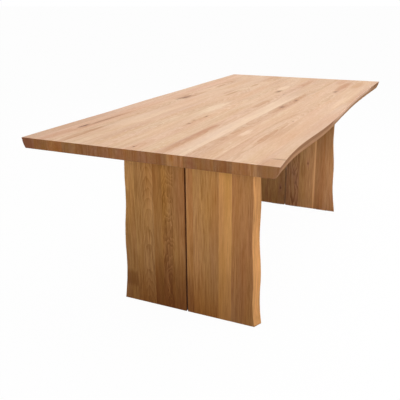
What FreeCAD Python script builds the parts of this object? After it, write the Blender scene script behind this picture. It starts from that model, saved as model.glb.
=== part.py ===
import FreeCAD, Part
import math
import os
import Sketcher

# A dining table with live edges, in millimetres.
# X runs along the table, -Y is its front long side, +Z is up.
# The origin is on the floor, under the middle of the table.
# The top is glued up from full-length staves. Each leg is a pair of upright panels with a
# narrow gap between them, glued up the same way, with their live edges outwards.
# Steel brackets hold the legs to the top, and two dovetailed battens, slid in from the back,
# keep the top flat.

os.makedirs("parts", exist_ok=True)
doc = FreeCAD.newDocument("live_edge_table")
Vec = FreeCAD.Vector
Rule = Sketcher.Constraint

# ---------------------------------------------------------------- driving dimensions

sizes = {
    # whole table
    "tableHeight": 750,
    "topLength": 2000,
    "topHalfWidth": 490,      # middle line of the top to the mean line of a live edge
    "topThick": 40,
    "endArris": 1.5,          # chamfer along the sawn ends of the top
    # live edges of the top
    "topBevel": 15,           # lean of the edge, top face to underside
    "kneeLean": 6,            # lean of the edge down to its knee
    "kneeDepth": 22,          # knee below the top face
    "frontFoot": 10,          # narrowest width of the front stave, on the underside
    "backFoot": 11,           # narrowest width of the back stave, on the underside
    # legs
    "legSetback": 265,        # end of the top to the outer face of a leg
    "legThick": 40,
    "legGap": 6,              # between the two panels of a leg
    "legHalfWidth": 285,      # middle of the gap to the mean line of a live edge
    "legBevel": 16,           # lean of the live edge, inner face to outer face
    "legArris": 1.5,          # rounding along the gap
    "leftLegCentre": -42,     # the gap, from the middle line of the table
    "rightLegCentre": -1,
    "leftBackLive": 33,       # narrowest width of each live stave, on the outer face
    "leftFrontLive": 82,
    "rightFrontLive": 27,
    "rightBackLive": 70,
    # felt glides
    "glideHeight": 3,
    "glideWidth": 28,         # across the panel
    "glideLength": 60,
    "glideInset": 55,         # middle of a glide, from the gap's middle and from the live edge
    # leg brackets, welded steel angle
    "bracketThick": 6,
    "bracketDrop": 80,
    "bracketReach": 100,
    "bracketInset": 45,       # mean line of the leg's live edge to the bracket's end
    "bracketRoot": 5,         # radius in the inner corner
    "ribSize": 60,
    "ribThick": 6,
    # hexagon bolts from the bracket up into the top
    "boltRow": 66,            # from the leg's inner face
    "boltInset": 28,          # from the bracket's end
    "boltRadius": 4,
    "boltLength": 25,
    "boltHeadFlats": 13,
    "boltHeadHeight": 5.3,
    "slotRoom": 0.5,          # slot wider than its fastener, each side
    "slotTravel": 6,          # length of a slot beyond its width
    "washerRadius": 9,
    "washerThick": 1.6,
    "insertRadius": 6,
    "insertWall": 1.9,
    "insertLength": 18,
    "holeRoom": 0.05,         # hole wider than the sleeve driven into it, each side
    "holeSpare": 1,           # hole deeper than the sleeve
    # screw slots from the bracket into the leg
    "legSlotDrop": 48,        # below the underside of the top
    "legSlotFirst": 36,       # first slot, from the middle of the gap
    "legSlotLast": 30,        # last slot, from the bracket's end
    "legSlotRadius": 3.5,
    # dovetailed battens across the underside
    "battenOffset": 300,      # middle of the table to the middle of a batten
    "battenInset": 90,        # mean line of the top's live edge to a batten's end
    "battenNeck": 21,         # half-width at the underside
    "battenTail": 25,         # half-width at the bottom of the groove
    "battenSink": 12,         # depth of the dovetail
    "battenDrop": 16,         # batten below the underside
    "battenSlope": 30,        # sloping off at its two ends
    "tailRoom": 0.1,          # groove wider than the dovetail, each side
    "endRoom": 1,             # groove longer than the batten, at the front
}

# Control points of the live edges, evenly spaced, out from the mean line.
# Those of the top run from the left end to the right, those of the legs up from the floor.
waves = {
    "frontWave": [20, -5, -5, 4, -1, -14, -23, -31, -33, -31, -29],
    "backWave": [20, 18, 12, 7, 11, 9, 0, -1, -2, -11, -12],
    "leftBackWave": [16, 4, -1, 4, 0, -11, -8, -9, -20],
    "leftFrontWave": [13, 1, 7, 5, -4, -2, 3, -6, -4],
    "rightFrontWave": [10, -3, -10, -6, -14, -23, -19, -17, -18],
    "rightBackWave": [5, -4, 4, 8, 0, -8, -3, 5, 1],
}

# Shares in which the staves between the live ones divide the width.
# Those of the top run from the front to the back, those of the legs out from the gap.
shares = {
    "topShare": [84, 65, 58, 52, 61, 54, 63, 55, 60, 80, 47, 76, 69, 60],
    "leftBackShare": [50, 52, 40, 87],
    "leftFrontShare": [30, 110, 54],
    "rightFrontShare": [82, 98, 52],
    "rightBackShare": [44, 84, 75],
}

boltCount = 4
legSlotCount = 3      # in each panel

sheet = doc.addObject("Spreadsheet::Sheet", "Sizes")
for name, numbers in {**waves, **shares}.items():
    for place, number in enumerate(numbers, 1):
        sizes["%s_%d" % (name, place)] = number
for line, (alias, number) in enumerate(sizes.items(), 1):
    sheet.set("A%d" % line, alias)
    sheet.set("B%d" % line, str(number))
    sheet.setAlias("B%d" % line, alias)
doc.recompute()


def cells(name, count):
    return ["Sizes.%s_%d" % (name, place) for place in range(1, count + 1)]


def lowest(name):
    return "min(%s)" % "; ".join(cells(name, len(waves[name])))


def joint(start, end, name, number):
    """The place of a glue joint, by the shares of the staves before it."""
    widths = cells(name, len(shares[name]))
    part = " + ".join(widths[:number]) or "0"
    return "(%s + (%s - %s) * (%s) / (%s))" % (start, end, start, part, " + ".join(widths))


def size(expression):
    """The value that an expression has in the sheet now."""
    value = sheet.evalExpression(expression)
    return float(getattr(value, "Value", value))


# ---------------------------------------------------------------- derived places

halfLength = "Sizes.topLength / 2"
underside = "(Sizes.tableHeight - Sizes.topThick)"
legHeight = "(Sizes.tableHeight - Sizes.topThick - Sizes.glideHeight)"
halfGap = "(Sizes.legGap / 2)"
legFace = "(Sizes.topLength / 2 - Sizes.legSetback)"          # outer face of a leg
bracketHalf = "(Sizes.legHalfWidth - Sizes.bracketInset)"
boltSpan = "(%s - Sizes.boltInset)" % bracketHalf             # outermost bolts
boltPitch = "(2 * %s / %d)" % (boltSpan, boltCount - 1)
boltSide = "(%s - Sizes.legThick - Sizes.boltRow)" % legFace  # row of bolts, from the middle
legSlotSpan = "(%s - Sizes.legSlotLast - Sizes.legSlotFirst)" % bracketHalf
battenHalf = "(Sizes.topHalfWidth - Sizes.battenInset)"

# ---------------------------------------------------------------- sketching


def new_body(name):
    body = doc.addObject("PartDesign::Body", name)
    body.Label = name
    body.AllowCompound = True
    return body


def place(body, x, y, z, turn=0):
    if turn:
        body.Placement.Rotation = FreeCAD.Rotation(Vec(0, 0, 1), turn)
    for axis, expression in zip("xyz", (x, y, z)):
        body.setExpression("Placement.Base.%s" % axis, expression)


def sketch_on(body, role, offset="0"):
    plane = next(f for f in body.Origin.OriginFeatures if f.Role == role)
    sketch = body.newObject("Sketcher::SketchObject", body.Name + "_sketch")
    sketch.AttachmentSupport = [(plane, "")]
    sketch.MapMode = "FlatFace"
    sketch.setExpression(".AttachmentOffset.Base.z", offset)
    return sketch


def pin(sketch, shape, point, x, y):
    """Holds a point at two distances from the sketch's origin."""
    for kind, axis, expression in (("DistanceX", -2, x), ("DistanceY", -1, y)):
        value = size(expression)
        if abs(value) < 1e-9:
            sketch.addConstraint(Rule("PointOnObject", shape, point, axis))
            continue
        ends = (-1, 1, shape, point) if value > 0 else (shape, point, -1, 1)
        rule = sketch.addConstraint(Rule(kind, *ends, abs(value)))
        distance = expression if value > 0 else "-(%s)" % expression
        sketch.setExpression("Constraints[%d]" % rule, distance)


def spot(x, y):
    return Vec(size(x), size(y), 0)


def close(sketch, chain):
    for shape, follower in zip(chain, chain[1:] + chain[:1]):
        sketch.addConstraint(Rule("Coincident", shape, 2, follower, 1))


def polygon(sketch, corners):
    spots = [spot(x, y) for x, y in corners]
    sides = zip(spots, spots[1:] + spots[:1])
    lines = [sketch.addGeometry(Part.LineSegment(a, b)) for a, b in sides]
    close(sketch, lines)
    for line, (x, y) in zip(lines, corners):
        pin(sketch, line, 1, x, y)


def live_outline(sketch, poles, corners):
    """A cubic spline held at each control point, closed by straight sawn sides."""
    spots = [spot(x, y) for x, y in poles]
    edge = sketch.addGeometry(Part.BSplineCurve(spots, None, None, False, 3, None, False))
    for number, (x, y) in enumerate(poles):
        pole = sketch.addGeometry(Part.Circle(spots[number], Vec(0, 0, 1), 5), True)
        sketch.addConstraint(Rule("Weight", pole, 1.0))
        kind = "InternalAlignment:Sketcher::BSplineControlPoint"
        sketch.addConstraint(Rule(kind, pole, 3, edge, number))
        pin(sketch, pole, 3, x, y)
    path = [spots[-1]] + [spot(x, y) for x, y in corners] + [spots[0]]
    lines = [sketch.addGeometry(Part.LineSegment(a, b)) for a, b in zip(path, path[1:])]
    close(sketch, [edge] + lines)
    for line, (x, y) in zip(lines[1:], corners):
        pin(sketch, line, 1, x, y)


def disc(sketch, x, y, radius):
    circle = sketch.addGeometry(Part.Circle(spot(x, y), Vec(0, 0, 1), size(radius)))
    pin(sketch, circle, 3, x, y)
    rule = sketch.addConstraint(Rule("Radius", circle, size(radius)))
    sketch.setExpression("Constraints[%d]" % rule, radius)


def slot(sketch, first, last, radius):
    """A slot with round ends about two centres."""
    ends = [spot(*first), spot(*last)]
    turn = math.atan2(ends[1].y - ends[0].y, ends[1].x - ends[0].x)
    arcs = []
    for centre, way in zip(ends, (turn + math.pi / 2, turn - math.pi / 2)):
        circle = Part.Circle(centre, Vec(0, 0, 1), size(radius))
        arcs.append(sketch.addGeometry(Part.ArcOfCircle(circle, way, way + math.pi)))
    out, back = (sketch.Geometry[arc] for arc in arcs)
    low = sketch.addGeometry(Part.LineSegment(out.EndPoint, back.StartPoint))
    high = sketch.addGeometry(Part.LineSegment(back.EndPoint, out.StartPoint))
    chain = [arcs[0], low, arcs[1], high]
    for shape, follower in zip(chain, chain[1:] + chain[:1]):
        sketch.addConstraint(Rule("Tangent", shape, 2, follower, 1))
    pin(sketch, arcs[0], 3, *first)
    pin(sketch, arcs[1], 3, *last)
    rule = sketch.addConstraint(Rule("Radius", arcs[0], size(radius)))
    sketch.setExpression("Constraints[%d]" % rule, radius)


# ---------------------------------------------------------------- features


def pad(body, sketch, length, both_ways=False, down=False):
    feature = body.newObject("PartDesign::Pad", body.Name + "_pad")
    feature.Profile = sketch
    feature.Midplane = both_ways
    feature.Reversed = down
    feature.setExpression("Length", length)
    doc.recompute()
    return feature


def pocket(body, sketch, length, both_ways=False, along_normal=False):
    # A cut shows in the faces: the volume between spline faces isn't exact enough for small ones.
    faces, area = len(body.Shape.Faces), body.Shape.Area
    feature = body.newObject("PartDesign::Pocket", body.Name + "_pocket")
    feature.Profile = sketch
    feature.Midplane = both_ways
    feature.Reversed = along_normal
    feature.setExpression("Length", length)
    doc.recompute()
    if len(body.Shape.Faces) == faces and abs(body.Shape.Area - area) < 1e-3:
        raise RuntimeError("a pocket in %s cuts nothing" % body.Label)
    return feature


def loft(body, sketches):
    feature = body.newObject("PartDesign::AdditiveLoft", body.Name + "_loft")
    feature.Profile = sketches[0]
    feature.Sections = sketches[1:]
    feature.Ruled = True
    doc.recompute()
    return feature


def repeat(body, originals, sketch, axis, length, count, back=False):
    feature = body.newObject("PartDesign::LinearPattern", body.Name + "_row")
    feature.Originals = originals
    feature.Direction = (sketch, [axis])
    feature.Reversed = back
    feature.Occurrences = count
    feature.setExpression("Length", length)
    body.Tip = feature
    doc.recompute()


def ease(body, radius, wanted):
    """Rounds the edges that the test picks."""
    edges = ["Edge%d" % n for n, edge in enumerate(body.Shape.Edges, 1) if wanted(edge)]
    base = body.Tip
    feature = body.newObject("PartDesign::Fillet", body.Name + "_eased")
    feature.Base = (base, edges)
    feature.setExpression("Radius", radius)
    doc.recompute()


def flat(edge, axis, value):
    low, high = (getattr(edge.BoundBox, axis + end) for end in ("Min", "Max"))
    return abs(low - value) < 1e-4 and abs(high - value) < 1e-4


def reaches(low, high, y, radius):
    """Whether a hole of this radius at y cuts into the strip from low to high."""
    return size(low) < size(y) + size(radius) and size(high) > size(y) - size(radius)


# ---------------------------------------------------------------- the top

frontJoint = "(-Sizes.topHalfWidth - %s + Sizes.topBevel + Sizes.frontFoot)" % lowest("frontWave")
backJoint = "(Sizes.topHalfWidth + %s - Sizes.topBevel - Sizes.backFoot)" % lowest("backWave")


def top_edge(name, side, lean):
    """Control points of a live edge of the top, leaned inwards by so much."""
    count = len(waves[name])
    poles = []
    for number, wave in enumerate(cells(name, count)):
        x = "%s * %r" % (halfLength, 2 * number / (count - 1) - 1)
        y = "%s(Sizes.topHalfWidth + %s - %s)" % ("-" if side < 0 else "", wave, lean)
        poles.append((x, y))
    return poles


def live_stave(name, wave, side, foot):
    """An outer stave of the top: three outlines, lofted from the underside to the top face."""
    body = new_body(name)
    levels = [
        ("0", "Sizes.topBevel"),
        ("Sizes.topThick - Sizes.kneeDepth", "Sizes.kneeLean"),
        ("Sizes.topThick", "0"),
    ]
    sketches = []
    for level, lean in levels:
        sketch = sketch_on(body, "XY_Plane", level)
        corners = [(halfLength, foot), ("-" + halfLength, foot)]
        live_outline(sketch, top_edge(wave, side, lean), corners)
        sketches.append(sketch)
    loft(body, sketches)
    return body


def straight_stave(name, low, high):
    body = new_body(name)
    sketch = sketch_on(body, "XY_Plane")
    left, right = "-" + halfLength, halfLength
    polygon(sketch, [(left, low), (right, low), (right, high), (left, high)])
    pad(body, sketch, "Sizes.topThick")
    return body


def ease_ends(body):
    """Takes the sharp arris off the sawn ends, at the top face and at the underside."""
    sketch = sketch_on(body, "XZ_Plane")
    beyond = "(%s + Sizes.endArris)" % halfLength          # the wedges reach past the wood
    inside = "(%s - 2 * Sizes.endArris)" % halfLength
    for end in ("-", ""):
        for level, out, back in (("0", "-", "+"), ("Sizes.topThick", "+", "-")):
            past = "%s %s Sizes.endArris" % (level, out)
            polygon(sketch, [(end + beyond, past), (end + inside, past),
                             (end + beyond, "%s %s 2 * Sizes.endArris" % (level, back))])
    pocket(body, sketch, "4 * Sizes.topHalfWidth", both_ways=True)


def cut_groove(body, x):
    """A dovetailed seat for a batten, stopped at the front and open at the back edge."""
    sketch = sketch_on(body, "XZ_Plane", "%s + Sizes.endRoom" % battenHalf)
    neck = "(Sizes.battenNeck + Sizes.tailRoom)"
    tail = "(Sizes.battenTail + Sizes.tailRoom)"
    corners = [("-", neck, "0"), ("-", tail, "Sizes.battenSink"),
               ("+", tail, "Sizes.battenSink"), ("+", neck, "0")]
    polygon(sketch, [("%s %s %s" % (x, way, across), up) for way, across, up in corners])
    pocket(body, sketch, "3 * Sizes.topHalfWidth")


def finish_top_stave(body, low, high):
    """Eased ends, the battens' grooves and the holes for the bolts' sleeves."""
    ease_ends(body)
    if size(high) > -size(battenHalf) - size("Sizes.endRoom"):
        for x in ("-Sizes.battenOffset", "Sizes.battenOffset"):
            cut_groove(body, x)
    radius = "(Sizes.insertRadius + Sizes.holeRoom)"
    spots = []
    for side, centre in (("-", "Sizes.leftLegCentre"), ("", "Sizes.rightLegCentre")):
        for number in range(boltCount):
            y = "%s - %s + %d * %s" % (centre, boltSpan, number, boltPitch)
            if reaches(low, high, y, radius):
                spots.append((side + boltSide, y))
    if spots:
        sketch = sketch_on(body, "XY_Plane")
        for x, y in spots:
            disc(sketch, x, y, radius)
        pocket(body, sketch, "Sizes.insertLength + Sizes.holeSpare", along_normal=True)
    place(body, "0", "0", underside)


innerCount = len(shares["topShare"])
outerReach = "(Sizes.topHalfWidth * 2)"
front = live_stave("top_stave_01", "frontWave", -1, frontJoint)
finish_top_stave(front, "-" + outerReach, frontJoint)
for number in range(innerCount):
    low = joint(frontJoint, backJoint, "topShare", number)
    high = joint(frontJoint, backJoint, "topShare", number + 1)
    stave = straight_stave("top_stave_%02d" % (number + 2), low, high)
    finish_top_stave(stave, low, high)
back = live_stave("top_stave_%02d" % (innerCount + 2), "backWave", 1, backJoint)
finish_top_stave(back, backJoint, outerReach)

# ---------------------------------------------------------------- the legs
# A leg is drawn with its outer face on x = 0 and its feet on z = 0. The right leg is turned
# half round, so the panel on its +y side is at the front of the table.


def place_leg(body, leg, x="0", y="0", z="0"):
    """Puts a piece that is drawn on a leg where that leg stands."""
    if leg == "left":
        place(body, "-%s + %s" % (legFace, x), "Sizes.leftLegCentre + %s" % y,
              "Sizes.glideHeight + %s" % z)
    else:
        place(body, "%s - (%s)" % (legFace, x), "Sizes.rightLegCentre - (%s)" % y,
              "Sizes.glideHeight + %s" % z, turn=180)


def leg_edge(name, side, lean):
    count = len(waves[name])
    poles = []
    for number, wave in enumerate(cells(name, count)):
        y = "%s(Sizes.legHalfWidth + %s + %s)" % ("-" if side < 0 else "", wave, lean)
        poles.append((y, "%s * %r" % (legHeight, number / (count - 1))))
    return poles


def leg_panel(leg, half, side):
    """One upright panel: straight staves out from the gap, then the live one."""
    key = leg + half.capitalize()
    sign = "-" if side < 0 else ""
    outer = "(Sizes.legHalfWidth + %s - Sizes.%sLive)" % (lowest(key + "Wave"), key)
    count = len(shares[key + "Share"])
    for number in range(count):
        low = joint(halfGap, outer, key + "Share", number)
        high = joint(halfGap, outer, key + "Share", number + 1)
        body = new_body("%s_%s_leg_stave_%d" % (leg, half, number + 1))
        sketch = sketch_on(body, "XY_Plane")
        polygon(sketch, [("0", sign + low), ("Sizes.legThick", sign + low),
                         ("Sizes.legThick", sign + high), ("0", sign + high)])
        pad(body, sketch, legHeight)
        if number == 0:
            gap = size(sign + halfGap)
            ease(body, "Sizes.legArris",
                 lambda edge: flat(edge, "Y", gap) and edge.BoundBox.ZLength > 1)
        place_leg(body, leg)
    body = new_body("%s_%s_leg_stave_%d" % (leg, half, count + 1))
    sketches = []
    for face, lean in (("0", "0"), ("Sizes.legThick", "Sizes.legBevel")):
        sketch = sketch_on(body, "YZ_Plane", face)
        corners = [(sign + outer, legHeight), (sign + outer, "0")]
        live_outline(sketch, leg_edge(key + "Wave", side, lean), corners)
        sketches.append(sketch)
    loft(body, sketches)
    place_leg(body, leg)


def glides(leg, half, side):
    """Two felt pads under a panel, one near the gap and one near the live edge."""
    body = new_body("%s_%s_leg_glides" % (leg, half))
    sketch = sketch_on(body, "XY_Plane")
    sign = "-" if side < 0 else ""
    near, far = ("((Sizes.legThick %s Sizes.glideWidth) / 2)" % way for way in "-+")
    for middle in ("Sizes.glideInset", "(Sizes.legHalfWidth - Sizes.glideInset)"):
        low, high = ("%s(%s %s Sizes.glideLength / 2)" % (sign, middle, way) for way in "-+")
        polygon(sketch, [(near, low), (far, low), (far, high), (near, high)])
    pad(body, sketch, "Sizes.glideHeight", down=True)
    place_leg(body, leg)


def bracket(leg):
    """A steel angle across both panels, with welded ribs and slots that let the wood move."""
    body = new_body(leg + "_leg_bracket")
    thick, reach, drop = "Sizes.bracketThick", "Sizes.bracketReach", "Sizes.bracketDrop"
    sketch = sketch_on(body, "XZ_Plane")
    polygon(sketch, [("0", "0"), (reach, "0"), (reach, "-" + thick), (thick, "-" + thick),
                     (thick, "-" + drop), ("0", "-" + drop)])
    pad(body, sketch, "2 * " + bracketHalf, both_ways=True)
    corner = size(thick)
    ease(body, "Sizes.bracketRoot",
         lambda edge: flat(edge, "X", corner) and flat(edge, "Z", -corner))
    for step in (-1, 0, 1):
        sketch = sketch_on(body, "XZ_Plane", "%d * %s" % (step, boltPitch))
        polygon(sketch, [(thick, "-" + thick), ("Sizes.ribSize", "-" + thick),
                         (thick, "-Sizes.ribSize")])
        pad(body, sketch, "Sizes.ribThick", both_ways=True)
    travel = "Sizes.slotTravel / 2"
    sketch = sketch_on(body, "XY_Plane")
    slot(sketch, ("Sizes.boltRow", "-%s - %s" % (boltSpan, travel)),
         ("Sizes.boltRow", "-%s + %s" % (boltSpan, travel)), "Sizes.boltRadius + Sizes.slotRoom")
    hole = pocket(body, sketch, thick)
    repeat(body, [hole], sketch, "V_Axis", "2 * " + boltSpan, boltCount)
    for side in (-1, 1):
        sign = "-" if side < 0 else ""
        sketch = sketch_on(body, "YZ_Plane", thick)
        ends = ["%s(Sizes.legSlotFirst %s %s)" % (sign, way, travel) for way in "-+"]
        slot(sketch, (ends[0], "-Sizes.legSlotDrop"), (ends[1], "-Sizes.legSlotDrop"),
             "Sizes.legSlotRadius")
        hole = pocket(body, sketch, thick)
        repeat(body, [hole], sketch, "H_Axis", legSlotSpan, legSlotCount, back=side < 0)
    place_leg(body, leg, "Sizes.legThick", "0", legHeight)


def top_bolts(leg):
    """Hexagon bolts, their washers, and the sleeves in the top that they screw into."""
    row = ("Sizes.legThick + Sizes.boltRow", boltSpan)
    under = "%s - Sizes.bracketThick - Sizes.washerThick" % legHeight
    body = new_body(leg + "_top_bolts")
    head = sketch_on(body, "XY_Plane")
    corner = "Sizes.boltHeadFlats / %r" % math.sqrt(3)
    turns = [math.radians(60 * k + 15) for k in range(6)]
    polygon(head, [("%s * %r" % (corner, math.cos(a)), "%s * %r" % (corner, math.sin(a)))
                   for a in turns])
    cap = pad(body, head, "Sizes.boltHeadHeight", down=True)
    sketch = sketch_on(body, "XY_Plane")
    disc(sketch, "0", "0", "Sizes.boltRadius")
    shank = pad(body, sketch, "Sizes.boltLength")
    repeat(body, [cap, shank], sketch, "V_Axis", "2 * " + boltSpan, boltCount, back=True)
    place_leg(body, leg, *row, under)

    rings = [
        (leg + "_top_washers", "Sizes.washerRadius", "Sizes.boltRadius + Sizes.slotRoom",
         "Sizes.washerThick", under),
        (leg + "_top_inserts", "Sizes.insertRadius", "Sizes.insertRadius - Sizes.insertWall",
         "Sizes.insertLength", legHeight),
    ]
    for name, outer, inner, length, level in rings:
        body = new_body(name)
        sketch = sketch_on(body, "XY_Plane")
        disc(sketch, "0", "0", outer)
        disc(sketch, "0", "0", inner)
        ring = pad(body, sketch, length)
        repeat(body, [ring], sketch, "V_Axis", "2 * " + boltSpan, boltCount, back=True)
        place_leg(body, leg, *row, level)


for leg, halves in (("left", {"front": -1, "back": 1}), ("right", {"front": 1, "back": -1})):
    for half, side in halves.items():
        leg_panel(leg, half, side)
        glides(leg, half, side)
    bracket(leg)
    top_bolts(leg)

# ---------------------------------------------------------------- battens under the top


def batten(name, x):
    """A dovetail along its upper side, standing proud of the underside, with sloped ends."""
    body = new_body(name)
    sketch = sketch_on(body, "XZ_Plane")
    polygon(sketch, [("-Sizes.battenNeck", "-Sizes.battenDrop"),
                     ("Sizes.battenNeck", "-Sizes.battenDrop"), ("Sizes.battenNeck", "0"),
                     ("Sizes.battenTail", "Sizes.battenSink"),
                     ("-Sizes.battenTail", "Sizes.battenSink"), ("-Sizes.battenNeck", "0")])
    pad(body, sketch, "2 * " + battenHalf, both_ways=True)
    sketch = sketch_on(body, "YZ_Plane")
    for end in ("-", ""):
        tip = end + battenHalf
        polygon(sketch, [(tip, "-Sizes.battenDrop"), (tip, "0"),
                         ("%s(%s - Sizes.battenSlope)" % (end, battenHalf),
                          "-Sizes.battenDrop")])
    pocket(body, sketch, "4 * Sizes.battenTail", both_ways=True)
    place(body, x, "0", underside)


batten("left_top_batten", "-Sizes.battenOffset")
batten("right_top_batten", "Sizes.battenOffset")

# ---------------------------------------------------------------- check and export

doc.recompute()
for item in doc.Objects:
    faults = [state for state in item.State if state in ("Invalid", "Error")]
    if faults:
        raise RuntimeError("%s is %s" % (item.Label, faults))

bodies = [item for item in doc.Objects if item.TypeId == "PartDesign::Body"]
for body in bodies:
    shape = body.Shape
    if shape.isNull() or not shape.isValid() or not shape.Solids:
        raise RuntimeError("%s has no sound solid" % body.Label)
for body in bodies:
    body.Shape.exportStep("parts/%s.step" % body.Label)
    print("%-28s %2d solid(s) %9.0f mm3" % (body.Label, len(body.Shape.Solids), body.Shape.Volume))
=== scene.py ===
import math

import bmesh
import bpy
import numpy as np
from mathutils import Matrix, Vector, noise


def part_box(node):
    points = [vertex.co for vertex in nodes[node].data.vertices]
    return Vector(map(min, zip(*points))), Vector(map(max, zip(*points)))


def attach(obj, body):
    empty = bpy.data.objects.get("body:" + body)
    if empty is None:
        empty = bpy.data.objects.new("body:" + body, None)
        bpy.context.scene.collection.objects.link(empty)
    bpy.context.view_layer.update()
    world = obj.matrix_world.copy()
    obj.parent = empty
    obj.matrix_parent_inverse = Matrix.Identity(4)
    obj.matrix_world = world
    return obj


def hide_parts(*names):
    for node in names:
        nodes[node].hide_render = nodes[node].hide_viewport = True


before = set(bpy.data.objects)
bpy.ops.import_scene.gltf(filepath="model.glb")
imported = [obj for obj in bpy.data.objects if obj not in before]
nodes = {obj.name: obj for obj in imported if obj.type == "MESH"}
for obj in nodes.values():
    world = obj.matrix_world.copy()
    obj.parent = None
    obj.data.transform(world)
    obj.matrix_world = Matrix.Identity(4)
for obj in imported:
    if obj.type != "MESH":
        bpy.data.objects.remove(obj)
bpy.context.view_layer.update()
print("frame loaded:", len(nodes), "nodes")

scene = bpy.context.scene
scene.view_settings.view_transform = "Standard"
touching = 1e-5            # points closer than this are on one level


class Wire:
    # wraps a socket, so that sums and masks can be written as expressions

    def __init__(self, tree, socket=None):
        self.tree = tree
        self.socket = socket

    def node(self, kind, settings=None, inputs=None, output=0):
        # any other node: its settings first, then the values or links of its sockets
        made = self.tree.nodes.new("ShaderNode" + kind)
        for name, value in (settings or {}).items():
            setattr(made, name, value)
        for name, value in (inputs or {}).items():
            feed(made, name, value)
        return Wire(self.tree, made.outputs[output])

    def math(self, operation, *values):
        # the first value may be a plain number, so that reflected operators come here too
        return self.node("Math", {"operation": operation}, dict(enumerate(values)))

    def __add__(self, other):
        return self.math("ADD", self, other)

    def __radd__(self, other):
        return self.math("ADD", other, self)

    def __sub__(self, other):
        return self.math("SUBTRACT", self, other)

    def __rsub__(self, other):
        return self.math("SUBTRACT", other, self)

    def __mul__(self, other):
        return self.math("MULTIPLY", self, other)

    def __rmul__(self, other):
        return self.math("MULTIPLY", other, self)

    def power(self, other):
        return self.math("POWER", self, other)

    def sqrt(self):
        return self.math("SQRT", self)

    def exponent(self):
        return self.math("EXPONENT", self)

    def fraction(self):
        return self.math("FRACT", self)

    def larger(self, other):
        return self.math("MAXIMUM", self, other)

    def size(self):
        return self.math("ABSOLUTE", self)

    def rise(self, low, high):
        # 0 at low, 1 at high, smooth between
        limits = {"Value": self, "From Min": low, "From Max": high}
        return self.node("MapRange", {"interpolation_type": "SMOOTHSTEP"}, limits)

    def tint(self, first, second):
        # first where this mask is 0, second where it is 1
        return self.node("Mix", {"data_type": "RGBA"}, {0: self, 6: first, 7: second}, 2)


def feed(node, name, value):
    # feeds a wire into a socket, or sets a constant on it
    if isinstance(value, Wire):
        value.tree.links.new(value.socket, node.inputs[name])
    else:
        node.inputs[name].default_value = value


def newMaterial(name):
    material = bpy.data.materials.new(name)
    material.use_nodes = True
    tree = material.node_tree
    return material, tree.nodes["Principled BSDF"], Wire(tree)


def opaque(colour, factor=1):
    return (*(channel * factor for channel in colour), 1)


def multiplied(start, share, colour, factor):
    # darkens a colour by a factor for each channel, where the share is 1
    inputs = {0: share, 6: colour, 7: opaque(factor)}
    return start.node("Mix", {"data_type": "RGBA", "blend_type": "MULTIPLY"}, inputs, 2)


def recoloured(start, colour, hue, saturation, value):
    return start.node("HueSaturation", None, {
        "Hue": hue, "Saturation": saturation, "Value": value, "Fac": 1.0, "Color": colour})


def bump(start, height, reach):
    # reach: depth in metres, and strength
    depth, strength = reach
    return start.node("Bump", None, {"Height": height, "Distance": depth, "Strength": strength})


def noiseOf(start, row, a, b, c):
    # noise drawn out along the grain. The row: shift along the log, how often it turns in a
    # metre along, across and through the stave, detail, roughness. With two limits more it
    # is a mask, without them it lies round 0.5.
    shift, along, across, through, detail, roughness, *limits = row
    spot = start.node("CombineXYZ", None, {0: (a + shift) * along, 1: b * across, 2: c * through})
    look = {"Vector": spot, "Scale": 1.0, "Detail": detail, "Roughness": roughness}
    cloud = start.node("TexNoise", {"noise_dimensions": "3D"}, look)
    return cloud.rise(*limits) if limits else cloud


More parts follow.
